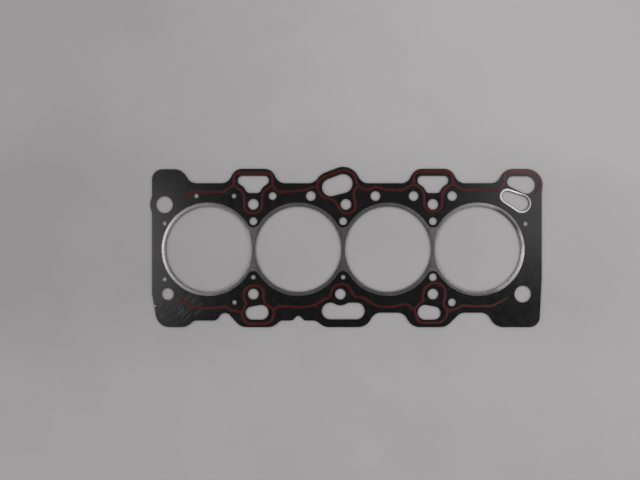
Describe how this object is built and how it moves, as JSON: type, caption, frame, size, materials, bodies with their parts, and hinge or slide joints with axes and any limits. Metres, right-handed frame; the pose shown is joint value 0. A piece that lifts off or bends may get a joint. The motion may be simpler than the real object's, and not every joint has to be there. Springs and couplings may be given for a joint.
{
  "type": "cylinder head gasket",
  "caption": "Flat composite gasket that seals an in-line engine's head to its block, with folded metal round its bores, a metal eyelet in an oil passage and printed sealing beads.",
  "frame": {"origin": "on the block face, midway between the two middle bores", "axes": "+X along the row of cylinders towards the eyelet end, +Y towards the far side with the window bosses, +Z from the block to the head"},
  "size_m": [0.406, 0.1658, 0.0016],
  "materials": {
    "composite_facing": "black fibre facing bonded to a steel core, matt with a faint sheen",
    "folded_steel": "bright rolled steel sheet, folded, lightly rubbed",
    "eyelet_steel": "bright steel sheet, folded and polished by pressing",
    "bead_print": "dark red silicone print, matt, scuffed"
  },
  "bodies": {
    "root": {"gasket_body": "composite_facing", "combustion_armour": "folded_steel", "oil_eyelet": "eyelet_steel", "far_side_bead": "bead_print", "near_side_bead": "bead_print"}
  },
  "joints": []
}
